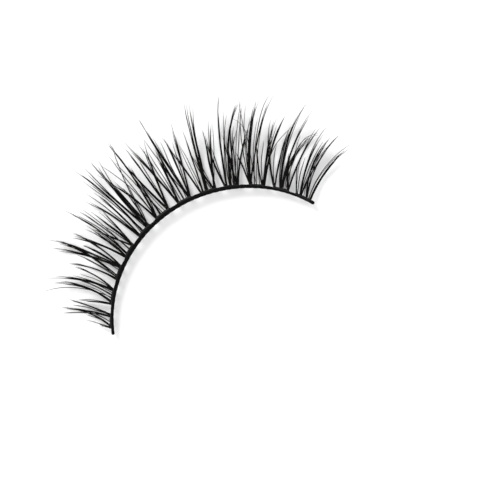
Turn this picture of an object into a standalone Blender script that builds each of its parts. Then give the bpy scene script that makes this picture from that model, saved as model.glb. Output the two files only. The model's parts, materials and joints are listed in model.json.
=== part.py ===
"""False eyelash strip for one eye: a curved thread band with twelve fans of curled lashes.

Metres, +Z up. The strip lies by itself on a level surface, curl upwards, on the bellies of its lashes. The band's
arc is level. Lashes point along +Y, the inner corner of the eye is at -X and the outer corner at +X. The finished
strip is centred over the origin with its lowest point at Z = 0.
"""

from collections import namedtuple
from math import atan, atan2, cos, hypot, pi, radians, sin

import bmesh
import bpy
from mathutils import Vector

# Band: a thread arc with a flat underside, level with the glue line on the lid
BAND_INNER_RADIUS = 0.01475
BAND_LENGTH = 0.0334
BAND_WIDTH = 0.00046
BAND_HEIGHT = 0.00040
BAND_FLAT = 0.00034

# Width of the band along its length. place: 0 at the inner end, 1 at the outer end. width: share of BAND_WIDTH
BAND_SECTIONS = (
    (0.00, 0.56),
    (0.03, 0.54),
    (0.09, 0.64),
    (0.25, 0.92),
    (0.38, 1.00),
    (0.55, 0.88),
    (0.72, 0.60),
    (0.97, 0.48),
    (0.985, 0.50),
    (0.992, 0.72),
    (1.00, 0.72),
)
BAND_STEPS = 45
END_STEPS = 4

# Cross-section of the band and the root strips: the sides end at this share of the height, under a round crown
SHOULDER = 0.4
CROWN_STEPS = 4

# Root strip of each fan: the line of knotted and glued hair roots along the band's outer side
ROOT_STRIP_WIDTH = 0.00017
ROOT_STRIP_HEIGHT = 0.00029
ROOT_STRIP_FLAT = 0.00013
ROOT_STRIP_MARGIN = 0.00022
ROOT_STRIP_STEPS = 4
ROOT_GAP = 0.00005

# Lashes: every fan is rolled to one curl, so its locks leave the band sloping down and curl up on one radius
LASH_LENGTH = 0.0135
CURL_RADIUS = 0.011
ROOT_DROP = 18.0
LOCK_DIAMETER = 0.00025
TIP_DIAMETER = 0.00005
TAPER_POWER = 1.6
LOCK_STEPS = 7

# Neighbouring fans cross, so every other fan leaves the band at a steeper slope and runs under its neighbours
LAYER_GAP = 0.00006
FIRST_CROSSING = 0.95

# The leans below are charted on a strip of these proportions, and stretch with the sizes above. arc: the angle that the
# band spans, in radians. reach: how far a lash as long as LASH_LENGTH stands off the band, as a share of the band's length
CHART_ARC = 2.26
CHART_REACH = 0.373

# One group of rows per fan, from the inner corner outwards, and one row per lock. The columns are those of Lock:
# root: its place along the band, 0 at the inner end and 1 at the outer end
# lean_root, lean_tip: degrees that it leans towards the outer end, where it leaves the band and at its tip
# length: share of LASH_LENGTH
# width: share of LOCK_DIAMETER
Lock = namedtuple("Lock", "root lean_root lean_tip length width")
FANS = (
    (
        (0.021, 16, 16, 0.11, 0.7),
        (0.027, 42, 8, 0.48, 0.8),
        (0.060, 15, 4, 0.45, 0.9),
        (0.067, 20, 20, 0.39, 0.7),
    ),
    (
        (0.104, 0, 0, 0.26, 1.0),
        (0.111, 33, -4, 0.57, 0.9),
        (0.134, 22, 12, 0.36, 0.6),
        (0.151, 12, -4, 0.60, 1.0),
        (0.154, 34, 8, 0.41, 0.7),
    ),
    (
        (0.191, 12, -8, 0.42, 1.0),
        (0.201, 22, 8, 0.61, 0.8),
        (0.232, -2, -8, 0.63, 1.0),
        (0.235, 2, 0, 0.68, 0.7),
        (0.235, 14, 0, 0.39, 0.7),
        (0.238, 22, 4, 0.51, 0.7),
    ),
    (
        (0.272, 0, -6, 0.52, 1.0),
        (0.275, 16, 3, 0.43, 0.7),
        (0.284, 15, 3, 0.78, 0.9),
        (0.302, 10, 6, 0.76, 0.6),
        (0.316, -13, -8, 0.36, 0.7),
        (0.319, 8, 6, 0.47, 1.0),
        (0.319, 18, 10, 0.44, 0.6),
    ),
    (
        (0.356, -1, -7, 0.56, 1.0),
        (0.358, 9, 3, 0.62, 0.8),
        (0.374, 7, 1, 0.89, 0.6),
        (0.394, -6, 12, 0.82, 1.0),
        (0.396, 3, 13, 0.80, 0.7),
        (0.403, 3, 7, 0.60, 0.7),
        (0.399, 19, 8, 0.39, 0.7),
    ),
    (
        (0.436, -7, -8, 0.66, 1.0),
        (0.438, 14, 5, 0.90, 0.8),
        (0.456, 3, 5, 0.84, 0.6),
        (0.483, -13, 7, 0.93, 1.0),
        (0.487, 1, 1, 0.71, 0.7),
        (0.486, 13, 15, 0.70, 0.8),
    ),
    (
        (0.523, -11, -10, 0.76, 1.0),
        (0.525, 7, 5, 0.51, 0.8),
        (0.544, -2, -2, 0.60, 0.6),
        (0.562, -10, -2, 0.90, 1.0),
        (0.567, 1, 1, 0.61, 0.7),
        (0.566, 13, 5, 0.76, 0.8),
    ),
    (
        (0.604, -16, -13, 0.62, 0.7),
        (0.611, 2, -3, 0.61, 0.7),
        (0.624, 0, 4, 0.93, 1.0),
        (0.626, 3, 4, 0.90, 0.7),
        (0.646, -22, -14, 0.33, 0.7),
        (0.654, 0, 0, 0.56, 0.6),
        (0.650, 8, 9, 0.65, 1.0),
    ),
    (
        (0.685, -19, -7, 0.49, 0.8),
        (0.691, -1, 4, 0.89, 0.7),
        (0.705, -2, 20, 0.74, 1.0),
        (0.715, 1, 3, 0.55, 0.6),
        (0.726, -15, -8, 0.45, 0.8),
        (0.728, 8, 23, 0.59, 1.0),
    ),
    (
        (0.768, -24, -28, 0.32, 0.7),
        (0.768, -6, 5, 0.91, 1.0),
        (0.770, 6, 6, 0.89, 0.8),
        (0.809, -22, -8, 0.42, 0.7),
        (0.813, -2, 0, 0.56, 0.7),
        (0.815, 2, 10, 0.73, 1.0),
    ),
    (
        (0.849, -26, -3, 0.63, 0.9),
        (0.852, -4, 6, 0.56, 0.7),
        (0.872, -12, 9, 0.82, 1.0),
        (0.874, -2, 10, 0.76, 0.8),
        (0.876, 2, 25, 0.56, 0.6),
        (0.897, -20, -10, 0.38, 0.7),
        (0.899, 2, 10, 0.63, 0.8),
    ),
    (
        (0.928, -24, -15, 0.30, 0.6),
        (0.943, -17, 6, 0.70, 0.9),
        (0.945, 0, 8, 0.62, 0.7),
        (0.966, -27, 12, 0.63, 1.0),
        (0.968, -18, 11, 0.66, 0.7),
        (0.980, -4, 14, 0.54, 0.8),
    ),
)

# Colours are linear RGB
THREAD_COLOUR = (0.008, 0.008, 0.009, 1.0)
THREAD_ROUGHNESS = 0.75
FIBRE_COLOUR = (0.010, 0.009, 0.009, 1.0)
FIBRE_ROUGHNESS = 0.42

# Points of one mesh closer than this are one point
WELD = 0.0000002


def table_value(table, place):
    """Value of a two-column table at a place, in straight lines between its rows."""
    for (left, low), (right, high) in zip(table, table[1:]):
        if place <= right:
            return low + (high - low) * (place - left) / (right - left)
    return table[-1][1]


def arc_angle(place):
    """Angle from +Y towards +X of a place along the band."""
    return (place - 0.5) * BAND_LENGTH / BAND_INNER_RADIUS


def outward_at(place):
    angle = arc_angle(place)
    return Vector((sin(angle), cos(angle), 0))


def band_width(place):
    return BAND_WIDTH * table_value(BAND_SECTIONS, place)


def root_radius(place):
    """Distance from the arc's centre to the middle of the root strip."""
    return BAND_INNER_RADIUS + band_width(place) + ROOT_GAP + ROOT_STRIP_WIDTH / 2


def clear_scene():
    for old in list(bpy.data.objects):
        bpy.data.objects.remove(old, do_unlink=True)


def new_collection(name):
    collection = bpy.data.collections.new(name)
    bpy.context.scene.collection.children.link(collection)
    return collection


def new_material(name, colour, roughness):
    material = bpy.data.materials.new(name)
    material.use_nodes = True
    material.diffuse_color = colour
    shader = material.node_tree.nodes["Principled BSDF"]
    shader.inputs["Base Color"].default_value = colour
    shader.inputs["Roughness"].default_value = roughness
    shader.inputs["Metallic"].default_value = 0.0
    return material


def tube_curve(name, points, radii, collection):
    """Curve object along the points, whose bevel is scaled by each point's radius, with closed ends."""
    curve = bpy.data.curves.new(name, "CURVE")
    curve.dimensions = "3D"
    curve.twist_mode = "Z_UP"
    curve.use_fill_caps = True
    spline = curve.splines.new("POLY")
    spline.points.add(len(points) - 1)
    for spline_point, point, radius in zip(spline.points, points, radii):
        spline_point.co = (*point, 1.0)
        spline_point.radius = radius
    tube = bpy.data.objects.new(name, curve)
    collection.objects.link(tube)
    return tube


def sweep(tube, profile):
    """Give a curve object a profile for its cross-section."""
    tube.data.bevel_mode = "OBJECT"
    tube.data.bevel_object = profile


def mesh_from_curve(tube, collection):
    """Closed mesh object in place of a curve object."""
    bpy.context.view_layer.update()
    evaluated = tube.evaluated_get(bpy.context.evaluated_depsgraph_get())
    mesh = bpy.data.meshes.new_from_object(evaluated)
    work = bmesh.new()
    work.from_mesh(mesh)
    bmesh.ops.remove_doubles(work, verts=work.verts, dist=WELD)
    bmesh.ops.recalc_face_normals(work, faces=work.faces)
    work.to_mesh(mesh)
    work.free()
    name = tube.name
    bpy.data.objects.remove(tube, do_unlink=True)
    solid = bpy.data.objects.new(name, mesh)
    collection.objects.link(solid)
    return solid


def new_profile(name, width, height, flat, guides):
    """Cross-section of a laid thread: flat underneath, round on top, standing on its origin."""
    curve = bpy.data.curves.new(name, "CURVE")
    curve.dimensions = "2D"
    outline = [(-flat / 2, 0.0), (flat / 2, 0.0)]
    shoulder = height * SHOULDER
    for step in range(CROWN_STEPS + 1):
        turn = pi * step / CROWN_STEPS
        outline.append((width / 2 * cos(turn), shoulder + (height - shoulder) * sin(turn)))
    spline = curve.splines.new("POLY")
    spline.points.add(len(outline) - 1)
    for spline_point, (across, up) in zip(spline.points, outline):
        spline_point.co = (across, up, 0.0, 1.0)
    spline.use_cyclic_u = True
    profile = bpy.data.objects.new(name, curve)
    guides.objects.link(profile)
    profile.hide_render = True
    profile.display_type = "WIRE"
    return profile


def rounded_end(place):
    """Distances from an end of the band, as shares of its length, with the share of the local width there."""
    reach = band_width(place) / 2 / BAND_LENGTH
    turns = [pi / 2 * (step + 0.5) / END_STEPS for step in range(END_STEPS + 1)]
    return [(reach * (1 - cos(turn)), sin(turn)) for turn in turns[:-1]] + [(reach, 1.0)]


def band_places():
    """Places along the band with the share of the local width there: rounded at both ends, full between."""
    near = rounded_end(0.0)
    far = [(1 - distance, share) for distance, share in reversed(rounded_end(1.0))]
    start = near[-1][0]
    end = far[0][0]
    even = [start + (end - start) * step / BAND_STEPS for step in range(1, BAND_STEPS)]
    sections = [place for place, width in BAND_SECTIONS if start < place < end]
    return near + [(place, 1.0) for place in sorted(even + sections)] + far


def make_band(collection, guides, material):
    """Thread band: one profile swept along the arc, with its inner edge on the circle."""
    profile = new_profile("band_profile", BAND_WIDTH, BAND_HEIGHT, BAND_FLAT, guides)
    points = []
    radii = []
    for place, share in band_places():
        width = band_width(place)
        points.append(outward_at(place) * (BAND_INNER_RADIUS + width / 2))
        radii.append(share * width / BAND_WIDTH)
    tube = tube_curve("lash_band", points, radii, guides)
    sweep(tube, profile)
    band = mesh_from_curve(tube, collection)
    bpy.data.objects.remove(profile, do_unlink=True)
    band.data.materials.append(material)
    return band


def make_root_strip(name, first, last, guides):
    """Backing of one fan: an arc of glued roots from just before its first lock to just past its last."""
    margin = ROOT_STRIP_MARGIN / BAND_LENGTH
    start = first - margin
    end = last + margin
    points = []
    for step in range(ROOT_STRIP_STEPS + 1):
        place = start + (end - start) * step / ROOT_STRIP_STEPS
        points.append(outward_at(place) * root_radius(place))
    profile = new_profile(name + "_profile", ROOT_STRIP_WIDTH, ROOT_STRIP_HEIGHT, ROOT_STRIP_FLAT, guides)
    tube = tube_curve(name, points, [1.0] * len(points), guides)
    sweep(tube, profile)
    strip = mesh_from_curve(tube, guides)
    bpy.data.objects.remove(profile, do_unlink=True)
    return strip


def charted_line(lock):
    """Points of one lock as its place along the band and its way out from it, as a share of LASH_LENGTH."""
    centre = 1 / CHART_ARC
    across = 0.0
    out = centre
    points = [(lock.root, 0.0)]
    step_length = CHART_REACH * lock.length / LOCK_STEPS
    for step in range(LOCK_STEPS):
        share = (step + 0.5) / LOCK_STEPS
        lean = radians(lock.lean_root + (lock.lean_tip - lock.lean_root) * share)
        across += sin(lean) * step_length
        out += cos(lean) * step_length
        place = lock.root + atan2(across, out) / CHART_ARC
        points.append((place, (hypot(across, out) - centre) / CHART_REACH))
    return points


def lock_centre_line(lock, drop):
    """Centre line of one lock from the middle of its root strip, on the curled sheet that its whole fan lies on."""
    points = []
    for place, way_out in charted_line(lock):
        slope = way_out * LASH_LENGTH / CURL_RADIUS - drop
        radius = root_radius(lock.root) + CURL_RADIUS * (sin(slope) + sin(drop))
        height = ROOT_STRIP_HEIGHT / 2 + CURL_RADIUS * (cos(drop) - cos(slope))
        points.append(outward_at(place) * radius + Vector((0, 0, height)))
    return points


def make_lock(name, lock, drop, guides):
    """One bundle of lashes: a tapered round body along its centre line."""
    points = lock_centre_line(lock, drop)
    root_diameter = LOCK_DIAMETER * lock.width
    radii = []
    for step in range(len(points)):
        share = step / LOCK_STEPS
        diameter = TIP_DIAMETER + (root_diameter - TIP_DIAMETER) * (1 - share ** TAPER_POWER)
        radii.append(diameter / LOCK_DIAMETER)
    tube = tube_curve(name, points, radii, guides)
    tube.data.bevel_depth = LOCK_DIAMETER / 2
    tube.data.bevel_resolution = 1
    return mesh_from_curve(tube, guides)


def fuse(body, pieces, collection):
    """Join pieces that meet into the body as one closed solid."""
    for piece in pieces:
        union = body.modifiers.new("join_" + piece.name, "BOOLEAN")
        union.operation = "UNION"
        union.solver = "EXACT"
        union.object = piece
    bpy.context.view_layer.update()
    evaluated = body.evaluated_get(bpy.context.evaluated_depsgraph_get())
    mesh = bpy.data.meshes.new_from_object(evaluated)
    work = bmesh.new()
    work.from_mesh(mesh)
    bmesh.ops.remove_doubles(work, verts=work.verts, dist=WELD)
    work.to_mesh(mesh)
    work.free()
    name = body.name
    for spent in [body] + pieces:
        bpy.data.objects.remove(spent, do_unlink=True)
    solid = bpy.data.objects.new(name, mesh)
    collection.objects.link(solid)
    return solid


def layer_drop(number):
    """Slope of a fan at the band, in radians: odd fans run under even ones."""
    pitch = BAND_LENGTH / len(FANS)
    half_step = atan((LOCK_DIAMETER + LAYER_GAP) / (FIRST_CROSSING * pitch)) / 2
    return radians(ROOT_DROP) + (half_step if number % 2 else -half_step)


def make_fan(number, locks, collection, guides, material):
    """One fan of lashes: its locks fused to the root strip behind them."""
    name = "lash_fan_%02d" % number
    roots = [lock.root for lock in locks]
    strip = make_root_strip(name, min(roots), max(roots), guides)
    drop = layer_drop(number)
    pieces = [make_lock("%s_lock_%d" % (name, i + 1), lock, drop, guides) for i, lock in enumerate(locks)]
    fan = fuse(strip, pieces, collection)
    fan.data.materials.clear()
    fan.data.materials.append(material)
    fan.data.shade_smooth()
    return fan


def set_down(pieces, collection):
    """Stand the strip on Z = 0 and centre it over the origin, under one empty."""
    bpy.context.view_layer.update()
    corners = [vertex.co for piece in pieces for vertex in piece.data.vertices]
    low = Vector([min(corner[i] for corner in corners) for i in range(3)])
    high = Vector([max(corner[i] for corner in corners) for i in range(3)])
    holder = bpy.data.objects.new("eyelash_strip", None)
    collection.objects.link(holder)
    holder.location = (-(low.x + high.x) / 2, -(low.y + high.y) / 2, -low.z)
    for piece in pieces:
        piece.parent = holder


def build():
    clear_scene()
    strip = new_collection("eyelash_strip")
    guides = new_collection("guides")
    thread = new_material("black_thread", THREAD_COLOUR, THREAD_ROUGHNESS)
    fibre = new_material("black_lash_fibre", FIBRE_COLOUR, FIBRE_ROUGHNESS)
    pieces = [make_band(strip, guides, thread)]
    for number, rows in enumerate(FANS, start=1):
        locks = [Lock(*row) for row in rows]
        pieces.append(make_fan(number, locks, strip, guides, fibre))
    set_down(pieces, strip)


build()
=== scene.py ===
"""Looks of a false eyelash strip: a waxed thread band with twelve fans of fine, curled, tapered lashes.

The strip lies by itself on white card, curl upwards, and is seen almost from above. The bare hairs of every
fan follow the same chart of locks as the solids that they replace.
"""

import json
from collections import namedtuple
from math import atan, atan2, cos, hypot, pi, radians, sin
from random import Random

import bpy
from mathutils import Matrix, Vector


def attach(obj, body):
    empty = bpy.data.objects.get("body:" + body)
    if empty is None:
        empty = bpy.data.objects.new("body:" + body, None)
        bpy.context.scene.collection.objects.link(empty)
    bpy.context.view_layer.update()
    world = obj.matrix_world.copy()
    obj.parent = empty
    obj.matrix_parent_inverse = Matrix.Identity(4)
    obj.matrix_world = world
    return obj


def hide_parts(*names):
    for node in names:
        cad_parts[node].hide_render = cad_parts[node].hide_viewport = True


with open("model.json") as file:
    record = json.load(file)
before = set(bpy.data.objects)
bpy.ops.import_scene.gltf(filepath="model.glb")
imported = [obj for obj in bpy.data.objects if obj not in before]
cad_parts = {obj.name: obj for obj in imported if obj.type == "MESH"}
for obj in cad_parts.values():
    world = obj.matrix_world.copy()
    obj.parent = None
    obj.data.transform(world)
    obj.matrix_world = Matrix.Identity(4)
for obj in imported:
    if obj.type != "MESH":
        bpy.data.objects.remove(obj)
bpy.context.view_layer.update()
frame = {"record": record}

# Camera. The photograph looks almost straight down, tipped a little towards the lashes, with the strip
# turned so that its inner corner is at the lower left.
PICTURE_WIDTH = 0.0560
CAMERA_TIP = radians(20.0)
CAMERA_TURN = radians(6.8)
CAMERA_ROLL = radians(26.5)
CAMERA_LENS = 150.0
CAMERA_NEAR = 0.01
AIM_RIGHT_OF_BAND = 0.00859
AIM_BELOW_BAND = 0.00470

band_middle = Vector(frame["record"]["mounts"][0]["pos_m"])
turned_out = Vector((sin(CAMERA_TURN), cos(CAMERA_TURN), 0))
turned_along = Vector((cos(CAMERA_TURN), -sin(CAMERA_TURN), 0))
to_camera = turned_out * sin(CAMERA_TIP) + Vector((0, 0, cos(CAMERA_TIP)))
tipped_out = turned_out * cos(CAMERA_TIP) - Vector((0, 0, sin(CAMERA_TIP)))
picture_up = tipped_out * cos(CAMERA_ROLL) + turned_along * sin(CAMERA_ROLL)
picture_right = turned_along * cos(CAMERA_ROLL) - tipped_out * sin(CAMERA_ROLL)
aim = band_middle + picture_right * AIM_RIGHT_OF_BAND - picture_up * AIM_BELOW_BAND

camera_data = bpy.data.cameras.new("camera")
camera_data.lens = CAMERA_LENS
camera_data.clip_start = CAMERA_NEAR
camera_distance = PICTURE_WIDTH * CAMERA_LENS / camera_data.sensor_width
camera = bpy.data.objects.new("camera", camera_data)
bpy.context.scene.collection.objects.link(camera)
camera.matrix_world = Matrix.Translation(aim + to_camera * camera_distance) @ Matrix(
    (picture_right, picture_up, to_camera)).transposed().to_4x4()
bpy.context.scene.camera = camera


# Floor and light. A sheet of white card under soft studio light from all round, with one stronger soft light
# on the lashes' side that throws the band's faint shadow into the eye's opening.
FLOOR_SIZE = 1.2
FLOOR_WHITE = "#f7f7f7"
KEY_DISTANCE = 0.6
KEY_SIZE = 0.20
KEY_POWER = 2.4
KEY_SLANT = radians(60)
SHADOW_RIGHT = 5.5
SHADOW_DOWN = 8.5
SKY_STRENGTH = 0.97


def linear(hex_colour):
    """sRGB hex colour as linear RGBA."""
    parts = [int(hex_colour[i:i + 2], 16) / 255 for i in (1, 3, 5)]
    return [p / 12.92 if p <= 0.04045 else ((p + 0.055) / 1.055) ** 2.4 for p in parts] + [1.0]


# Matt white card: bright and even, with no gloss
card = bpy.data.materials.new("matt_white_card")
card.use_nodes = True
card_shader = card.node_tree.nodes["Principled BSDF"]
card_shader.inputs["Base Color"].default_value = linear(FLOOR_WHITE)
card_shader.inputs["Roughness"].default_value = 0.9
card_shader.inputs["Specular IOR Level"].default_value = 0.1

floor_mesh = bpy.data.meshes.new("floor")
half_floor = FLOOR_SIZE / 2
corners = [(-half_floor, -half_floor, 0), (half_floor, -half_floor, 0), (half_floor, half_floor, 0),
           (-half_floor, half_floor, 0)]
floor_mesh.from_pydata(corners, [], [(0, 1, 2, 3)])
floor_mesh.materials.append(card)
floor = bpy.data.objects.new("floor", floor_mesh)
bpy.context.scene.collection.objects.link(floor)

# The key light stands towards the picture's upper left, against the way that the shadow falls
key_level = picture_up * SHADOW_DOWN - picture_right * SHADOW_RIGHT
key_level.z = 0
key_way = key_level.normalized() * sin(KEY_SLANT) + Vector((0, 0, cos(KEY_SLANT)))
key_data = bpy.data.lights.new("key", "AREA")
key_data.shape = "DISK"
key_data.size = KEY_SIZE
key_data.energy = KEY_POWER
key = bpy.data.objects.new("key", key_data)
bpy.context.scene.collection.objects.link(key)
key.location = key_way * KEY_DISTANCE
key.rotation_mode = "QUATERNION"
key.rotation_quaternion = key_way.to_track_quat("Z", "Y")

world = bpy.data.worlds.new("white_tent")
world.use_nodes = True
world.node_tree.nodes["Background"].inputs["Color"].default_value = (1, 1, 1, 1)
world.node_tree.nodes["Background"].inputs["Strength"].default_value = SKY_STRENGTH
bpy.context.scene.world = world
bpy.context.scene.view_settings.view_transform = "Standard"


# Band. A black cotton thread of two plies twisted together, waxed, and flat underneath where the glue goes.
# It is thickest about the middle of the strip, thins towards both ends and has a small knob at the outer
# one.
BAND_INNER_RADIUS = 0.01475
BAND_LENGTH = 0.0334
BAND_WIDTH = 0.00046
BAND_STEPS = 300
BAND_SIDES = 20
BAND_RISE = 0.00018
HEIGHT_SHARE = 0.96
INNER_END_STRAIGHTER = 0.00018
STRAIGHTER_PART = 0.35
STRAIGHTER_POWER = 1.5
INNER_END_LONGER = 0.0002
LONGER_STEPS = 30
END_STEPS = 4
END_LEAST_WIDTH = 0.15
TWIST_LENGTH = 0.00150
GROOVE_DEPTH = 0.16
CROWN_POWER = 0.6
PLY_SWELL = 1.08
GROWTH_INWARDS = 0.25

# Widths as shares of BAND_WIDTH at places along the band: of the solid band that the lashes stand off, and of
# the thread that shows, which is a little fuller
BAND_SECTIONS = (
    (0.00, 0.60), (0.03, 0.56), (0.09, 0.64), (0.25, 0.92), (0.38, 1.00), (0.55, 0.88), (0.72, 0.60),
    (0.97, 0.48), (0.985, 0.50), (0.992, 0.72), (1.00, 0.72))
THREAD_SECTIONS = (
    (0.00, 0.76), (0.03, 0.72), (0.12, 0.84), (0.21, 0.98), (0.33, 1.02), (0.65, 1.00), (0.78, 0.88),
    (0.90, 0.66), (0.97, 0.60), (0.985, 0.60), (0.992, 0.84), (1.00, 0.84))


def band_width(place, sections=BAND_SECTIONS):
    """Width at a place along the band, 0 at the inner corner and 1 at the outer corner."""
    for (left, low), (right, high) in zip(sections, sections[1:]):
        if place <= right:
            return BAND_WIDTH * (low + (high - low) * (place - left) / (right - left))
    return BAND_WIDTH * sections[-1][1]


arc_centre = band_middle - Vector((0, BAND_INNER_RADIUS + band_width(0.5) / 2, 0))
underside = band_middle.z


def strip_point(place, radius, height):
    """Point at a place along the band, from its distance to the arc's centre and its height over the band's
    underside. The inner end runs a little straighter than the arc."""
    angle = (place - 0.5) * BAND_LENGTH / BAND_INNER_RADIUS
    radius += INNER_END_STRAIGHTER * max(0.0, 1 - place / STRAIGHTER_PART) ** STRAIGHTER_POWER
    return arc_centre + Vector((sin(angle) * radius, cos(angle) * radius, height))


def add_node(tree, kind, sockets=None, **settings):
    """Adds a node. sockets: for an input's name or number, its value, or the node or output linked to it."""
    node = tree.nodes.new(kind)
    for name, value in settings.items():
        setattr(node, name, value)
    open_inputs = [socket for socket in node.inputs if socket.enabled]
    for key, value in (sockets or {}).items():
        socket = open_inputs[key] if isinstance(key, int) else next(s for s in open_inputs if s.name == key)
        if isinstance(value, bpy.types.Node):
            value = next(output for output in value.outputs if output.enabled)
        if isinstance(value, bpy.types.NodeSocket):
            tree.links.new(value, socket)
        else:
            socket.default_value = value
    return node


def guide_object(name, lines, numbers):
    """Object of bare lines, each from its root outwards. numbers: named values, one for each point."""
    points = [point for line in lines for point in line]
    edges = []
    start = 0
    for line in lines:
        edges += [(start + i, start + i + 1) for i in range(len(line) - 1)]
        start += len(line)
    mesh = bpy.data.meshes.new(name)
    mesh.from_pydata(points, edges, [])
    for label, values in numbers.items():
        attribute = mesh.attributes.new(label, "FLOAT", "POINT")
        attribute.data.foreach_set("value", values)
    guide = bpy.data.objects.new(name, mesh)
    bpy.context.scene.collection.objects.link(guide)
    return guide


def new_tree(name, inputs):
    """Geometry Nodes tree with a geometry input and the inputs given as (name, kind, value)."""
    tree = bpy.data.node_groups.new(name, "GeometryNodeTree")
    tree.interface.new_socket("Geometry", in_out="INPUT", socket_type="NodeSocketGeometry")
    tree.interface.new_socket("Geometry", in_out="OUTPUT", socket_type="NodeSocketGeometry")
    for label, kind, value in inputs:
        socket = tree.interface.new_socket(label, in_out="INPUT", socket_type="NodeSocket" + kind)
        if value is not None:
            socket.default_value = value
    return tree, tree.nodes.new("NodeGroupInput").outputs, tree.nodes.new("NodeGroupOutput").inputs


def close_tree(tree, geometry, material, output):
    """Ends a tree: smooth shading, real meshes instead of instances, and the piece's material."""
    smooth = add_node(tree, "GeometryNodeSetShadeSmooth", {"Geometry": geometry})
    real = add_node(tree, "GeometryNodeRealizeInstances", {"Geometry": smooth})
    painted = add_node(tree, "GeometryNodeSetMaterial", {"Geometry": real, "Material": material})
    tree.links.new(painted.outputs["Geometry"], output["Geometry"])


def grow(piece, tree, values):
    """Runs a tree on a piece with these values for its inputs, and leaves the result as its plain mesh."""
    modifier = piece.modifiers.new(tree.name, "NODES")
    modifier.node_group = tree
    for item in tree.interface.items_tree:
        if item.item_type == "SOCKET" and item.in_out == "INPUT" and item.name in values:
            modifier[item.identifier] = values[item.name]
    bpy.context.view_layer.update()
    evaluated = piece.evaluated_get(bpy.context.evaluated_depsgraph_get())
    mesh = bpy.data.meshes.new_from_object(evaluated)
    piece.modifiers.remove(modifier)
    mesh.name = piece.name
    piece.data = mesh
    return piece


# Waxed black cotton thread: dull black with a trace of wax shine, its fibres lying along the twist of each
# ply. Cotton fibres are about 0.02 mm wide, and are drawn coarser here so that they show at all.
thread = bpy.data.materials.new("waxed_black_cotton_thread")
thread.use_nodes = True
thread_tree = thread.node_tree
thread_shader = thread_tree.nodes["Principled BSDF"]
FIBRES_ROUND = 22.0
FIBRE_PITCH = 0.00007
FIBRE_RELIEF = 0.00003
FLECK_SIZE = 0.00011
round_ply = add_node(thread_tree, "ShaderNodeAttribute", attribute_name="around")
along_band = add_node(thread_tree, "ShaderNodeAttribute", attribute_name="distance")
fibres_round = add_node(thread_tree, "ShaderNodeMath", {
    0: round_ply.outputs["Fac"], 1: FIBRES_ROUND}, operation="MULTIPLY")
fibre_turn = add_node(thread_tree, "ShaderNodeMath", {
    0: along_band.outputs["Fac"], 1: 1 / FIBRE_PITCH, 2: fibres_round}, operation="MULTIPLY_ADD")
fibre_wave = add_node(thread_tree, "ShaderNodeMath", {0: fibre_turn, 1: 0.5}, operation="PINGPONG")
place_on_ply = add_node(thread_tree, "ShaderNodeTexCoord")
fleck = add_node(thread_tree, "ShaderNodeTexNoise", {
    "Vector": place_on_ply.outputs["Object"], "Scale": 1 / FLECK_SIZE, "Detail": 3.0})
fibre_height = add_node(thread_tree, "ShaderNodeMath", {0: fibre_wave, 1: fleck.outputs[0]}, operation="ADD")
thread_bump = add_node(thread_tree, "ShaderNodeBump", {
    "Strength": 0.9, "Distance": FIBRE_RELIEF, "Height": fibre_height})
# Colour painted lighter on the fibre crowns and darker between the fibres, as painted sheen and painted
# shade, with random flecks of the thread's own uneven tone
fibre_tone_and_painted_sheen = add_node(thread_tree, "ShaderNodeMix", {
    "Factor": fibre_height, "A": linear("#030303"), "B": linear("#0f0e0e")}, data_type="RGBA")
thread_tree.links.new(thread_bump.outputs["Normal"], thread_shader.inputs["Normal"])
thread_tree.links.new(next(o for o in fibre_tone_and_painted_sheen.outputs if o.enabled), thread_shader.inputs["Base Color"])
thread_shader.inputs["Roughness"].default_value = 0.62
thread_shader.inputs["Specular IOR Level"].default_value = 0.04

# The tree sweeps a round along the band, presses the groove between the two plies into it, winding along,
# and flattens it underneath
tree, given, result = new_tree("twisted thread", [
    ("Twist Length", "Float", TWIST_LENGTH), ("Groove", "Float", GROOVE_DEPTH),
    ("Height Share", "Float", 1.0), ("Underside", "Float", 0.0), ("Sides", "Int", BAND_SIDES),
    ("Material", "Material", None)])
line = add_node(tree, "GeometryNodeMeshToCurve", {"Mesh": given["Geometry"]})
width = add_node(tree, "GeometryNodeInputNamedAttribute", {"Name": "width"}, data_type="FLOAT")
distance = add_node(tree, "GeometryNodeInputNamedAttribute", {"Name": "distance"}, data_type="FLOAT")
middle = add_node(tree, "GeometryNodeStoreNamedAttribute", {
    "Geometry": line, "Name": "middle", "Value": add_node(tree, "GeometryNodeInputPosition")},
    data_type="FLOAT_VECTOR", domain="POINT")
ring = add_node(tree, "GeometryNodeCurvePrimitiveCircle", {
    "Resolution": given["Sides"], "Radius": 0.5}, mode="RADIUS")
round_share = add_node(tree, "GeometryNodeSplineParameter")
marked_ring = add_node(tree, "GeometryNodeStoreNamedAttribute", {
    "Geometry": ring.outputs["Curve"], "Name": "around", "Value": round_share.outputs["Factor"]},
    data_type="FLOAT", domain="POINT")
tube = add_node(tree, "GeometryNodeCurveToMesh", {
    "Curve": middle, "Profile Curve": marked_ring, "Scale": width, "Fill Caps": True})
around = add_node(tree, "GeometryNodeInputNamedAttribute", {"Name": "around"}, data_type="FLOAT")
turns = add_node(tree, "ShaderNodeMath", {0: distance, 1: given["Twist Length"]}, operation="DIVIDE")
twist = add_node(tree, "ShaderNodeMath", {0: around, 1: turns}, operation="ADD")
phase = add_node(tree, "ShaderNodeMath", {0: twist, 1: 2 * pi}, operation="MULTIPLY")
ply = add_node(tree, "ShaderNodeMath", {
    0: add_node(tree, "ShaderNodeMath", {0: phase}, operation="COSINE")}, operation="ABSOLUTE")
ply_crown = add_node(tree, "ShaderNodeMath", {0: ply, 1: CROWN_POWER}, operation="POWER")
ply_valley = add_node(tree, "ShaderNodeMath", {0: 1.0, 1: ply_crown}, operation="SUBTRACT")
groove = add_node(tree, "ShaderNodeMath", {0: ply_valley, 1: given["Groove"]}, operation="MULTIPLY")
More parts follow.
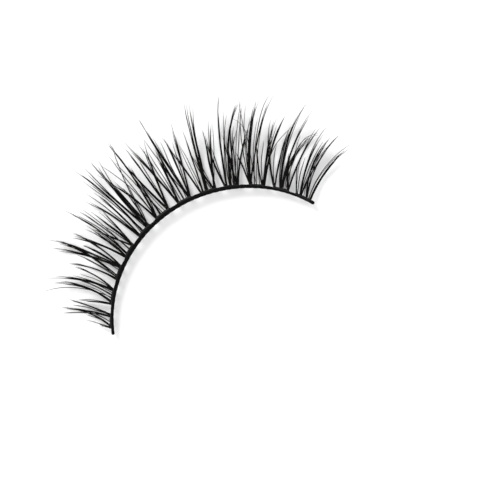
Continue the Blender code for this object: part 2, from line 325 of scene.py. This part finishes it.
swell = add_node(tree, "ShaderNodeMath", {0: 1.0, 1: groove}, operation="SUBTRACT")
centre = add_node(tree, "GeometryNodeInputNamedAttribute", {"Name": "middle"}, data_type="FLOAT_VECTOR")
arm = add_node(tree, "ShaderNodeVectorMath", {
    0: add_node(tree, "GeometryNodeInputPosition"), 1: centre}, operation="SUBTRACT")
grooved = add_node(tree, "ShaderNodeVectorMath", {0: arm, "Scale": swell}, operation="SCALE")
squat = add_node(tree, "ShaderNodeVectorMath", {0: grooved, 1: add_node(tree, "ShaderNodeCombineXYZ", {
    "X": 1.0, "Y": 1.0, "Z": given["Height Share"]})}, operation="MULTIPLY")
there = add_node(tree, "ShaderNodeSeparateXYZ", {
    0: add_node(tree, "ShaderNodeVectorMath", {0: centre, 1: squat}, operation="ADD")})
level = add_node(tree, "ShaderNodeMath", {
    0: there.outputs["Z"], 1: given["Underside"]}, operation="MAXIMUM")
laid = add_node(tree, "ShaderNodeCombineXYZ", {
    "X": there.outputs["X"], "Y": there.outputs["Y"], "Z": level})
flattened = add_node(tree, "GeometryNodeSetPosition", {"Geometry": tube, "Position": laid})
close_tree(tree, flattened, given["Material"], result)

# The line runs on past both ends of the band, where the thread rounds off
band_line = []
band_numbers = {"width": [], "distance": []}
for step_number in range(-END_STEPS, BAND_STEPS + END_STEPS + 1):
    place = min(max(step_number / BAND_STEPS, 0.0), 1.0)
    beyond = max(-step_number, step_number - BAND_STEPS, 0) / END_STEPS
    width_here = band_width(place, THREAD_SECTIONS)
    inner_radius = BAND_INNER_RADIUS + (band_width(place) - width_here) * GROWTH_INWARDS
    end_reach = sin(beyond * pi / 2) * width_here / 2 / BAND_LENGTH
    end_share = max(cos(beyond * pi / 2), END_LEAST_WIDTH)
    place = place * (1 - width_here / BAND_LENGTH) + width_here / 2 / BAND_LENGTH
    place += end_reach if step_number > BAND_STEPS / 2 else -end_reach
    if step_number < LONGER_STEPS:
        place -= INNER_END_LONGER / BAND_LENGTH * (1 - max(step_number, 0) / LONGER_STEPS)
    band_line.append(strip_point(place, inner_radius + width_here / 2, BAND_RISE * width_here / BAND_WIDTH))
    band_numbers["width"].append(width_here * PLY_SWELL * end_share)
    band_numbers["distance"].append(place * BAND_LENGTH)
band = grow(guide_object("band_thread", [band_line], band_numbers), tree, {
    "Twist Length": TWIST_LENGTH, "Groove": GROOVE_DEPTH, "Height Share": HEIGHT_SHARE,
    "Underside": underside, "Sides": BAND_SIDES, "Material": thread})
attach(band, "root")
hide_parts("lash_band")


# Root glue. The roots of each fan lie against the outer side of the band in a bead of black latex glue,
# which has dried a little uneven. The band is bare between the fans.
ROOT_STRIP_WIDTH = 0.00017
ROOT_STRIP_HEIGHT = 0.00029
ROOT_GAP = 0.00005
ROOT_MARGIN = 0.00016
GLUE_WIDTH = 0.00027
GLUE_SIDES = 12
GLUE_STEPS = 30
GLUE_LUMP_SIZE = 0.00028
GLUE_LUMP_HEIGHT = 0.00004
GLUE_END_FULLNESS = 6
GLUE_END_LEAST = 0.1

# Places along the band of each fan's first and last root
GLUE_SPANS = (
    (0.021, 0.067), (0.104, 0.154), (0.191, 0.238), (0.272, 0.319), (0.356, 0.403), (0.436, 0.487),
    (0.523, 0.567), (0.604, 0.654), (0.685, 0.728), (0.768, 0.815), (0.849, 0.899), (0.928, 0.980))

# Dried black latex lash glue: deep black, with a soft shine over a fine grain
GLUE_GRAIN = 0.00012
GLUE_GRAIN_HEIGHT = 0.00002
glue = bpy.data.materials.new("dried_black_latex_glue")
glue.use_nodes = True
glue_tree = glue.node_tree
glue_shader = glue_tree.nodes["Principled BSDF"]
glue_place = add_node(glue_tree, "ShaderNodeTexCoord")
glue_grain = add_node(glue_tree, "ShaderNodeTexNoise", {
    "Vector": glue_place.outputs["Object"], "Scale": 1 / GLUE_GRAIN, "Detail": 2.0})
glue_bump = add_node(glue_tree, "ShaderNodeBump", {
    "Strength": 0.4, "Distance": GLUE_GRAIN_HEIGHT, "Height": glue_grain.outputs[0]})
glue_colour = add_node(glue_tree, "ShaderNodeMix", {
    "Factor": glue_grain.outputs[0], "A": linear("#060606"), "B": linear("#100f0f")}, data_type="RGBA")
glue_tree.links.new(glue_bump.outputs["Normal"], glue_shader.inputs["Normal"])
glue_tree.links.new(next(o for o in glue_colour.outputs if o.enabled), glue_shader.inputs["Base Color"])
glue_shader.inputs["Roughness"].default_value = 0.38
glue_shader.inputs["Specular IOR Level"].default_value = 0.25

# The tree sweeps a round bead along each fan's roots, swells it with lumps and keeps it over the underside
tree, given, result = new_tree("glue bead", [
    ("Lump Size", "Float", GLUE_LUMP_SIZE), ("Lump Height", "Float", GLUE_LUMP_HEIGHT),
    ("Underside", "Float", 0.0), ("Sides", "Int", GLUE_SIDES), ("Material", "Material", None)])
line = add_node(tree, "GeometryNodeMeshToCurve", {"Mesh": given["Geometry"]})
width = add_node(tree, "GeometryNodeInputNamedAttribute", {"Name": "width"}, data_type="FLOAT")
ring = add_node(tree, "GeometryNodeCurvePrimitiveCircle", {
    "Resolution": given["Sides"], "Radius": 0.5}, mode="RADIUS")
tube = add_node(tree, "GeometryNodeCurveToMesh", {
    "Curve": line, "Profile Curve": ring.outputs["Curve"], "Scale": width, "Fill Caps": True})
lump_scale = add_node(tree, "ShaderNodeMath", {0: 1.0, 1: given["Lump Size"]}, operation="DIVIDE")
lumps = add_node(tree, "ShaderNodeTexNoise", {
    "Vector": add_node(tree, "GeometryNodeInputPosition"), "Scale": lump_scale, "Detail": 1.0})
from_mean = add_node(tree, "ShaderNodeMath", {0: lumps.outputs[0], 1: 0.5}, operation="SUBTRACT")
swell = add_node(tree, "ShaderNodeMath", {0: from_mean, 1: given["Lump Height"]}, operation="MULTIPLY")
push = add_node(tree, "ShaderNodeVectorMath", {
    0: add_node(tree, "GeometryNodeInputNormal"), "Scale": swell}, operation="SCALE")
there = add_node(tree, "ShaderNodeSeparateXYZ", {0: add_node(tree, "ShaderNodeVectorMath", {
    0: add_node(tree, "GeometryNodeInputPosition"), 1: push}, operation="ADD")})
level = add_node(tree, "ShaderNodeMath", {
    0: there.outputs["Z"], 1: given["Underside"]}, operation="MAXIMUM")
laid = add_node(tree, "ShaderNodeCombineXYZ", {
    "X": there.outputs["X"], "Y": there.outputs["Y"], "Z": level})
lumpy = add_node(tree, "GeometryNodeSetPosition", {"Geometry": tube, "Position": laid})
close_tree(tree, lumpy, given["Material"], result)

glue_lines = []
glue_widths = []
for first_root, last_root in GLUE_SPANS:
    start = first_root - ROOT_MARGIN / BAND_LENGTH
    span = last_root - first_root + 2 * ROOT_MARGIN / BAND_LENGTH
    glue_line = []
    for step_number in range(GLUE_STEPS + 1):
        share = step_number / GLUE_STEPS
        place = start + span * share
        radius = BAND_INNER_RADIUS + band_width(place) + ROOT_GAP
        glue_line.append(strip_point(place, radius, ROOT_STRIP_HEIGHT / 2))
        fullness = min(1.0, (sin(pi * share) * GLUE_END_FULLNESS) ** 0.5)
        glue_widths.append(GLUE_WIDTH * max(GLUE_END_LEAST, fullness))
    glue_lines.append(glue_line)
root_glue = grow(guide_object("root_glue", glue_lines, {"width": glue_widths}), tree, {
    "Lump Size": GLUE_LUMP_SIZE, "Lump Height": GLUE_LUMP_HEIGHT, "Underside": underside,
    "Sides": GLUE_SIDES, "Material": glue})
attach(root_glue, "root")


# Lashes. Black synthetic fibres, tapered to fine points and set to one curl. Each fan has thick bundles with
# looser hairs between, and every other fan leaves the band lower, so that it runs under its neighbours.
LASH_LENGTH = 0.0135
CURL_RADIUS = 0.011
ROOT_DROP = radians(18.0)
LOCK_DIAMETER = 0.00025
LAYER_GAP = 0.00006
FIRST_CROSSING = 0.95
CHART_ARC = 2.26
CHART_REACH = 0.373
HOOK_POWER = 5
GUIDE_STEPS = 14
HAIR_DIAMETER = 0.000090
HAIR_POINTS = 13
HAIR_SIDES = 4
HAIRS_A_LOCK = 5
SINGLE_HAIR_WIDTH = 0.3
SHORTEST_HAIR = 0.64
BUNDLE_SHARE = 1.0
TIP_SPREAD = 0.00100
WANDER = 0.00008
LOOSE_HAIRS = 13
LOOSE_PLACES = (0.2, 0.8)
LOOSE_LEAN = 8.0
LOOSE_LENGTHS = (0.68, 1.0)
LOOSE_WIDTH = 0.2
FIRST_SEED = 100

# The chart of locks. root: place along the band. lean_root, lean_tip: degrees towards the outer end. length:
# share of LASH_LENGTH. width: share of the thickest bundle. hook: degrees more that the tip bends.
Lock = namedtuple("Lock", "root lean_root lean_tip length width hook", defaults=(0.0,))
FANS = (
    (
        (0.021, 16, 16, 0.11, 0.7),
        (0.027, 42, 8, 0.48, 0.8),
        (0.060, 15, 4, 0.45, 0.9),
        (0.067, 20, 20, 0.39, 0.7),
    ),
    (
        (0.104, 0, 0, 0.26, 1.0),
        (0.111, 33, -4, 0.57, 0.9),
        (0.134, 22, 12, 0.36, 0.6),
        (0.151, 12, -4, 0.60, 1.0),
        (0.154, 34, 8, 0.41, 0.7),
    ),
    (
        (0.191, 12, -8, 0.42, 1.0),
        (0.201, 22, 8, 0.61, 0.8),
        (0.232, -2, -8, 0.63, 1.0),
        (0.235, 2, 0, 0.68, 0.7),
        (0.235, 14, 0, 0.39, 0.7),
        (0.238, 22, 4, 0.51, 0.7),
    ),
    (
        (0.272, 0, -6, 0.52, 1.0),
        (0.275, 16, 3, 0.43, 0.7),
        (0.284, 15, 3, 0.78, 0.9),
        (0.302, 10, 6, 0.76, 0.6),
        (0.316, -13, -8, 0.36, 0.7),
        (0.319, 8, 6, 0.47, 1.0),
        (0.319, 18, 10, 0.44, 0.6),
    ),
    (
        (0.356, -1, -7, 0.56, 1.0),
        (0.358, 9, 3, 0.62, 0.8),
        (0.374, 7, 1, 0.89, 0.6),
        (0.394, -6, 12, 0.82, 1.0),
        (0.396, 3, 13, 0.80, 0.7),
        (0.403, 3, 7, 0.60, 0.7),
        (0.399, 19, 8, 0.39, 0.7),
    ),
    (
        (0.436, -7, -8, 0.66, 1.0),
        (0.438, 14, 5, 0.90, 0.8),
        (0.456, 3, 5, 0.84, 0.6),
        (0.483, -13, 7, 0.93, 1.0),
        (0.487, 1, 1, 0.71, 0.7),
        (0.486, 13, 15, 0.70, 0.8),
    ),
    (
        (0.523, -11, -10, 0.76, 1.0),
        (0.525, 7, 5, 0.51, 0.8),
        (0.544, -2, -2, 0.60, 0.6),
        (0.562, -10, -2, 0.90, 1.0),
        (0.567, 1, 1, 0.61, 0.7),
        (0.566, 13, 5, 0.76, 0.8),
    ),
    (
        (0.604, -16, -13, 0.62, 0.7),
        (0.611, 2, -3, 0.61, 0.7),
        (0.624, 0, 4, 0.93, 1.0),
        (0.626, 3, 4, 0.90, 0.7),
        (0.646, -22, -14, 0.33, 0.7),
        (0.654, 0, 0, 0.56, 0.6),
        (0.650, 8, 9, 0.65, 1.0),
    ),
    (
        (0.685, -19, -7, 0.49, 0.8),
        (0.691, -1, 4, 0.89, 0.7),
        (0.705, -2, 20, 0.74, 1.0),
        (0.715, 1, 3, 0.55, 0.6),
        (0.726, -15, -8, 0.45, 0.8),
        (0.728, 8, 23, 0.59, 1.0),
    ),
    (
        (0.768, -24, -28, 0.32, 0.7),
        (0.768, -6, 5, 0.91, 1.0),
        (0.770, 6, 6, 0.89, 0.8),
        (0.809, -22, -8, 0.42, 0.7),
        (0.813, -2, 0, 0.56, 0.7),
        (0.815, 2, 10, 0.73, 1.0),
    ),
    (
        (0.849, -26, -3, 0.63, 0.9),
        (0.852, -4, 6, 0.56, 0.7),
        (0.872, -12, 9, 0.82, 1.0),
        (0.874, -2, 10, 0.76, 0.8),
        (0.876, 2, 25, 0.56, 0.6),
        (0.897, -20, -10, 0.38, 0.7),
        (0.899, 2, 10, 0.63, 0.8),
    ),
    (
        (0.928, -24, -15, 0.30, 0.6),
        (0.943, -17, 6, 0.70, 0.9),
        (0.945, 0, 8, 0.62, 0.7),
        (0.966, -27, 12, 0.63, 1.0),
        (0.968, -18, 11, 0.66, 0.7),
        (0.980, -4, 14, 0.54, 0.8),
    ),
)

# Single hairs that stand out from the fan whose number they have: long ones, low ones, and ones whose tips
# curl over
STRAYS = (
    (2, Lock(0.125, 16, -14, 0.60, 0.2)),
    (5, Lock(0.400, 16, 30, 0.80, 0.2)),
    (9, Lock(0.722, 4, 8, 0.74, 0.2)),
    (9, Lock(0.726, 7, 5, 0.70, 0.2)),
    (9, Lock(0.704, -2, 19, 0.735, 0.2)),
    (9, Lock(0.705, -3, 21, 0.74, 0.2)),
    (9, Lock(0.706, -2, 20, 0.73, 0.2)),
    (10, Lock(0.768, -12, -4, 0.76, 0.2)),
    (10, Lock(0.767, -15, -8, 0.70, 0.2)),
    (10, Lock(0.775, -12, -16, 0.89, 0.2)),
    (10, Lock(0.783, -5, 6, 0.93, 0.2)),
    (10, Lock(0.790, -5, 8, 0.92, 0.2)),
    (10, Lock(0.790, -18, -12, 0.68, 0.2, -70)),
    (10, Lock(0.813, -3, 34, 0.58, 0.2)),
    (11, Lock(0.885, -6, 14, 0.60, 0.2, 62)),
    (11, Lock(0.890, -5, 13, 0.57, 0.2, 58)),
    (12, Lock(0.974, -8, 20, 0.60, 0.2)),
    (12, Lock(0.978, -6, 18, 0.57, 0.2)),
)


def charted_line(lock):
    """Points of a lock, each as its place along the band and its way out as a share of LASH_LENGTH."""
    centre = 1 / CHART_ARC
    across = 0.0
    out = centre
    points = [(lock.root, 0.0)]
    step_length = CHART_REACH * lock.length / GUIDE_STEPS
    for step in range(GUIDE_STEPS):
        share = (step + 0.5) / GUIDE_STEPS
        lean = radians(lock.lean_root + (lock.lean_tip - lock.lean_root) * share
                       + lock.hook * share ** HOOK_POWER)
        across += sin(lean) * step_length
        out += cos(lean) * step_length
        place = lock.root + atan2(across, out) / CHART_ARC
        points.append((place, (hypot(across, out) - centre) / CHART_REACH))
    return points


def layer_drop(number):
    """Slope of a fan downwards from the band, in radians: odd fans run under even ones."""
    pitch = BAND_LENGTH / len(FANS)
    half_step = atan((LOCK_DIAMETER + LAYER_GAP) / (FIRST_CROSSING * pitch)) / 2
    return ROOT_DROP + (half_step if number % 2 else -half_step)


def lock_line(lock, drop):
    """Middle line of a lock on the curled sheet that its whole fan lies on."""
    root_radius = BAND_INNER_RADIUS + band_width(lock.root) + ROOT_GAP + ROOT_STRIP_WIDTH / 2
    points = []
    for place, way_out in charted_line(lock):
        slope = way_out * LASH_LENGTH / CURL_RADIUS - drop
        radius = root_radius + CURL_RADIUS * (sin(slope) + sin(drop))
        height = ROOT_STRIP_HEIGHT / 2 + CURL_RADIUS * (cos(drop) - cos(slope))
        points.append(strip_point(place, radius, height))
    return points


def loose_locks(locks, chance):
    """Single hairs between neighbouring locks of a fan, each between the two in root, lean and length."""
    found = []
    hair_count = round(LOOSE_HAIRS * sum(lock.length for lock in locks) / len(locks))
    for hair in range(hair_count):
        way_across = (hair + chance.uniform(*LOOSE_PLACES)) / hair_count * (len(locks) - 1)
        left = int(way_across)
        mix = way_across - left
        first, second = locks[left], locks[left + 1]
        root, lean_root, lean_tip, length = [a + (b - a) * mix for a, b in zip(first, second)][:4]
        lean_root += chance.uniform(-LOOSE_LEAN, LOOSE_LEAN)
        lean_tip += chance.uniform(-LOOSE_LEAN, LOOSE_LEAN)
        length *= chance.uniform(*LOOSE_LENGTHS)
        found.append(Lock(root, lean_root, lean_tip, length, LOOSE_WIDTH))
    return found


# Black PBT lash fibre, drawn and tapered: near black and satin, a trace warmer and lighter in its thin tips.
# No two hairs are quite the same black.
TIP_COLOUR_FROM = 0.55
fibre = bpy.data.materials.new("black_pbt_lash_fibre")
fibre.use_nodes = True
fibre_tree = fibre.node_tree
fibre_shader = fibre_tree.nodes["Principled BSDF"]
along_hair = add_node(fibre_tree, "ShaderNodeAttribute", attribute_name="along")
strand = add_node(fibre_tree, "ShaderNodeAttribute", attribute_name="strand")
tip_share = add_node(fibre_tree, "ShaderNodeMapRange", {
    "Value": along_hair.outputs["Fac"], "From Min": TIP_COLOUR_FROM, "From Max": 1.0},
    interpolation_type="SMOOTHSTEP")
body_colour = add_node(fibre_tree, "ShaderNodeMix", {
    "Factor": strand.outputs["Fac"], "A": linear("#050404"), "B": linear("#0e0c0b")}, data_type="RGBA")
fibre_colour = add_node(fibre_tree, "ShaderNodeMix", {
    "Factor": tip_share, "A": body_colour, "B": linear("#1c1816")}, data_type="RGBA")
fibre_tree.links.new(next(o for o in fibre_colour.outputs if o.enabled), fibre_shader.inputs["Base Color"])
fibre_shader.inputs["Roughness"].default_value = 0.42
fibre_shader.inputs["Specular IOR Level"].default_value = 0.07

# The tree copies each lock's line into its number of hairs, side by side across the bundle. They are held
# close at the root, draw together, fray towards the tip, wander a little and end at different lengths.
ROOT_HOLD = 0.8
LATER_HOLD = 0.3
HOLD_POWER = 3.0
FRAY_POWER = 2.2
DEPTH_SHARE = 0.6
WANDER_BENDS = 2.6
WANDER_APART = 7.31
WANDER_GAIN = 4.0
MOSTLY_LONG = 1.3
TAPER_POWER = 6.5
TIP_SHARE = 0.12
SLIMMEST_RADIUS = 0.40
STOUTEST_RADIUS = 0.58
SEEDS_APART = 101.0
tree, given, result = new_tree("lash bundle", [
    ("Hair Diameter", "Float", HAIR_DIAMETER), ("Tip Share", "Float", TIP_SHARE),
    ("Wander", "Float", WANDER), ("Points", "Int", HAIR_POINTS), ("Sides", "Int", HAIR_SIDES),
    ("Seed", "Int", 1), ("Material", "Material", None)])
line = add_node(tree, "GeometryNodeMeshToCurve", {"Mesh": given["Geometry"]})
rounded = add_node(tree, "GeometryNodeCurveSplineType", {"Curve": line}, spline_type="CATMULL_ROM")
hairs = add_node(tree, "GeometryNodeInputNamedAttribute", {"Name": "hairs"}, data_type="FLOAT")
girth = add_node(tree, "GeometryNodeInputNamedAttribute", {"Name": "girth"}, data_type="FLOAT")
spreads = add_node(tree, "GeometryNodeInputNamedAttribute", {"Name": "spread"}, data_type="FLOAT")
bundle = add_node(tree, "GeometryNodeDuplicateElements", {
    "Geometry": rounded, "Amount": hairs}, domain="SPLINE")
even = add_node(tree, "GeometryNodeResampleCurve", {"Curve": bundle, "Count": given["Points"]})
chances = []
for offset in range(5):
    seed = add_node(tree, "ShaderNodeMath", {0: given["Seed"], 1: offset * SEEDS_APART}, operation="ADD")
    draw = add_node(tree, "FunctionNodeRandomValue", {
        "ID": add_node(tree, "GeometryNodeInputIndex"), "Seed": seed}, data_type="FLOAT")
    chances.append(add_node(tree, "GeometryNodeFieldOnDomain", {0: draw}, domain="CURVE", data_type="FLOAT"))
place_chance, depth_chance, length_chance, girth_chance, strand_chance = chances
factor = add_node(tree, "GeometryNodeSplineParameter").outputs["Factor"]

# Where each hair lies across its bundle, from -0.5 to 0.5
order = add_node(tree, "ShaderNodeMath", {0: bundle.outputs["Duplicate Index"], 1: 0.5}, operation="ADD")
rank = add_node(tree, "ShaderNodeMath", {0: order, 1: hairs}, operation="DIVIDE")
jitter = add_node(tree, "ShaderNodeMath", {0: place_chance, 1: hairs}, operation="DIVIDE")
jittered = add_node(tree, "ShaderNodeMath", {0: rank, 1: jitter}, operation="ADD")
mean_jitter = add_node(tree, "ShaderNodeMath", {0: 0.5, 1: hairs}, operation="DIVIDE")
middle_rank = add_node(tree, "ShaderNodeMath", {0: mean_jitter, 1: 0.5}, operation="ADD")
from_middle = add_node(tree, "ShaderNodeMath", {0: jittered, 1: middle_rank}, operation="SUBTRACT")

# How wide the bundle is along its length
fray = add_node(tree, "ShaderNodeMath", {0: factor, 1: FRAY_POWER}, operation="POWER")
to_go = add_node(tree, "ShaderNodeMath", {0: 1.0, 1: factor}, operation="SUBTRACT")
rooted = add_node(tree, "ShaderNodeMath", {0: to_go, 1: HOLD_POWER}, operation="POWER")
held = add_node(tree, "ShaderNodeMath", {0: rooted, 1: ROOT_HOLD, 2: LATER_HOLD}, operation="MULTIPLY_ADD")
drawn_in = add_node(tree, "ShaderNodeMath", {0: girth, 1: held}, operation="MULTIPLY")
fan_width = add_node(tree, "ShaderNodeMath", {0: fray, 1: spreads, 2: drawn_in}, operation="MULTIPLY_ADD")

# The hair's own place beside and over the lock's line
tangent = add_node(tree, "GeometryNodeInputTangent")
level_side = add_node(tree, "ShaderNodeVectorMath", {0: tangent, 1: (0, 0, 1)}, operation="CROSS_PRODUCT")
side = add_node(tree, "ShaderNodeVectorMath", {0: level_side}, operation="NORMALIZE")
rise = add_node(tree, "ShaderNodeVectorMath", {0: side, 1: tangent}, operation="CROSS_PRODUCT")
sideways = add_node(tree, "ShaderNodeMath", {0: from_middle, 1: fan_width}, operation="MULTIPLY")
side_part = add_node(tree, "ShaderNodeVectorMath", {0: side, "Scale": sideways}, operation="SCALE")
from_level = add_node(tree, "ShaderNodeMath", {0: depth_chance, 1: 0.5}, operation="SUBTRACT")
depth = add_node(tree, "ShaderNodeMath", {0: fan_width, 1: DEPTH_SHARE}, operation="MULTIPLY")
upwards = add_node(tree, "ShaderNodeMath", {0: from_level, 1: depth}, operation="MULTIPLY")
rise_part = add_node(tree, "ShaderNodeVectorMath", {0: rise, "Scale": upwards}, operation="SCALE")
spread = add_node(tree, "ShaderNodeVectorMath", {0: side_part, 1: rise_part}, operation="ADD")

# Its wandering, and the surface that it can't sink into
hair_number = add_node(tree, "GeometryNodeFieldOnDomain", {
    0: add_node(tree, "GeometryNodeInputIndex")}, domain="CURVE", data_type="FLOAT")
noise_hair = add_node(tree, "ShaderNodeMath", {0: hair_number, 1: WANDER_APART}, operation="MULTIPLY")
noise_along = add_node(tree, "ShaderNodeMath", {0: factor, 1: WANDER_BENDS}, operation="MULTIPLY")
noise_place = add_node(tree, "ShaderNodeCombineXYZ", {"X": noise_hair, "Y": noise_along, "Z": given["Seed"]})
noise = add_node(tree, "ShaderNodeTexNoise", {"Vector": noise_place, "Scale": 1.0, "Detail": 0.0})
centred = add_node(tree, "ShaderNodeVectorMath", {
    0: noise.outputs["Color"], 1: (0.5, 0.5, 0.5)}, operation="SUBTRACT")
wander_share = add_node(tree, "ShaderNodeMath", {0: factor, 1: given["Wander"]}, operation="MULTIPLY")
wander_reach = add_node(tree, "ShaderNodeMath", {0: wander_share, 1: WANDER_GAIN}, operation="MULTIPLY")
wandering = add_node(tree, "ShaderNodeVectorMath", {0: centred, "Scale": wander_reach}, operation="SCALE")
moved = add_node(tree, "ShaderNodeVectorMath", {0: spread, 1: wandering}, operation="ADD")
placed = add_node(tree, "ShaderNodeVectorMath", {
    0: add_node(tree, "GeometryNodeInputPosition"), 1: moved}, operation="ADD")
parts = add_node(tree, "ShaderNodeSeparateXYZ", {0: placed})
lowest = add_node(tree, "ShaderNodeMath", {0: given["Hair Diameter"], 1: 0.5}, operation="MULTIPLY")
height = add_node(tree, "ShaderNodeMath", {0: parts.outputs["Z"], 1: lowest}, operation="MAXIMUM")
laid_down = add_node(tree, "ShaderNodeCombineXYZ", {
    "X": parts.outputs["X"], "Y": parts.outputs["Y"], "Z": height})
frayed = add_node(tree, "GeometryNodeSetPosition", {"Geometry": even, "Position": laid_down})

# Its length and its taper
cuts = add_node(tree, "GeometryNodeInputNamedAttribute", {"Name": "cut"}, data_type="FLOAT")
mostly_long = add_node(tree, "ShaderNodeMath", {0: length_chance, 1: MOSTLY_LONG}, operation="POWER")
cut = add_node(tree, "ShaderNodeMath", {0: mostly_long, 1: cuts}, operation="MULTIPLY")
end = add_node(tree, "ShaderNodeMath", {0: 1.0, 1: cut}, operation="SUBTRACT")
trimmed = add_node(tree, "GeometryNodeTrimCurve", {"Curve": frayed, "End": end}, mode="FACTOR")
taper_share = add_node(tree, "ShaderNodeMath", {0: factor, 1: TAPER_POWER}, operation="POWER")
thin = add_node(tree, "ShaderNodeMath", {0: 1.0, 1: given["Tip Share"]}, operation="SUBTRACT")
taper = add_node(tree, "ShaderNodeMath", {0: taper_share, 1: thin}, operation="MULTIPLY")
thick = add_node(tree, "ShaderNodeMath", {0: 1.0, 1: taper}, operation="SUBTRACT")
build = add_node(tree, "ShaderNodeMapRange", {
    "Value": girth_chance, "To Min": SLIMMEST_RADIUS, "To Max": STOUTEST_RADIUS})
half_hair = add_node(tree, "ShaderNodeMath", {0: build, 1: given["Hair Diameter"]}, operation="MULTIPLY")
radius = add_node(tree, "ShaderNodeMath", {0: thick, 1: half_hair}, operation="MULTIPLY")
marked = add_node(tree, "GeometryNodeStoreNamedAttribute", {
    "Geometry": trimmed, "Name": "along", "Value": factor}, data_type="FLOAT", domain="POINT")
told_apart = add_node(tree, "GeometryNodeStoreNamedAttribute", {
    "Geometry": marked, "Name": "strand", "Value": strand_chance}, data_type="FLOAT", domain="POINT")
ring = add_node(tree, "GeometryNodeCurvePrimitiveCircle", {
    "Resolution": given["Sides"], "Radius": 1.0}, mode="RADIUS")
tube = add_node(tree, "GeometryNodeCurveToMesh", {
    "Curve": told_apart, "Profile Curve": ring.outputs["Curve"], "Scale": radius, "Fill Caps": True})
close_tree(tree, tube, given["Material"], result)

# The charted single hairs keep their full length, and all others are cut by chance
for fan_number, rows in enumerate(FANS, start=1):
    locks = [Lock(*row) for row in rows]
    chance = Random(FIRST_SEED + fan_number)
    strays = [lock for number, lock in STRAYS if number == fan_number]
    locks += loose_locks(locks, chance) + strays
    drop = layer_drop(fan_number)
    lines = [lock_line(lock, drop) for lock in locks]
    numbers = {"hairs": [], "girth": [], "spread": [], "cut": []}
    for lock in locks:
        hair_count = max(1, round(HAIRS_A_LOCK * lock.width)) if lock.width > SINGLE_HAIR_WIDTH else 1
        most_cut = 0.0 if lock in strays else 1.0 - SHORTEST_HAIR
        numbers["hairs"] += [hair_count] * (GUIDE_STEPS + 1)
        numbers["girth"] += [BUNDLE_SHARE * LOCK_DIAMETER * lock.width] * (GUIDE_STEPS + 1)
        numbers["cut"] += [most_cut] * (GUIDE_STEPS + 1)
        numbers["spread"] += [TIP_SPREAD * lock.width * chance.random() ** 2] * (GUIDE_STEPS + 1)
    name = "lash_hairs_%02d" % fan_number
    fan = grow(guide_object(name, lines, numbers), tree, {
        "Hair Diameter": HAIR_DIAMETER, "Tip Share": TIP_SHARE, "Wander": WANDER,
        "Points": HAIR_POINTS, "Sides": HAIR_SIDES, "Seed": fan_number, "Material": fibre})
    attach(fan, "root")
    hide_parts("lash_fan_%02d" % fan_number)
